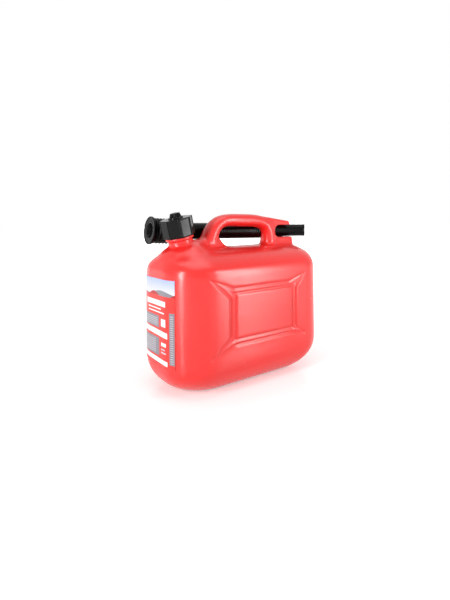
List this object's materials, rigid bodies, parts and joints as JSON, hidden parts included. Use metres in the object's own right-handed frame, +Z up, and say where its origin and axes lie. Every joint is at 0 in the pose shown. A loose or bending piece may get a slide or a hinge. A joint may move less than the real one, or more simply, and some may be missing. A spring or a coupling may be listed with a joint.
{
  "type": "fuel can",
  "caption": "Red blow-moulded plastic fuel can with a moulded handle, a black lobed screw cap and a flexible pouring spout stored in the handle.",
  "frame": {"origin": "middle of the flat base, halfway along the body's length and on its middle plane", "axes": "+X to the rear, -X to the neck and label, +Z up; the middle plane of the body and handle is Y = 0"},
  "size_m": [0.3068, 0.147, 0.2529],
  "materials": {
    "can_red": "satin",
    "label_print": "satin",
    "cap_black": "gloss",
    "spout_black": "gloss",
    "hose_black": "satin",
    "seal_rubber": "matte"
  },
  "bodies": {
    "can": {"can_body": "can_red", "front_label": "label_print"},
    "gasket": {"cap_gasket": "seal_rubber"},
    "plug": {"cap_plug": "cap_black"},
    "ring": {"cap_ring": "cap_black"},
    "spout": {"spout_nozzle": "spout_black", "spout_hose": "hose_black", "spout_collar": "spout_black", "spout_base": "spout_black", "spout_gasket": "seal_rubber"}
  },
  "joints": [
    {"name": "cap_lift", "type": "slide", "parent": "can", "child": "gasket", "axis": [-0.2164, 0, 0.9763], "range_m": [0, 0.06]},
    {"name": "cap_rise", "type": "slide", "parent": "gasket", "child": "plug", "axis": [-0.2164, 0, 0.9763], "range_m": [0, 0.008]},
    {"name": "cap_turn", "type": "hinge", "parent": "plug", "child": "ring", "pos_m": [-0.0948, 0, 0.2174], "axis": [-0.2164, 0, 0.9763], "range_deg": [0, 720]},
    {"name": "spout_pull", "type": "slide", "parent": "can", "child": "spout", "axis": [-0.984, 0.1771, 0.0175], "range_m": [0, 0.19]}
  ],
  "couplings": [
    {"joint": "cap_turn", "follows": "cap_rise", "rad_per_m": 1570.8}
  ]
}
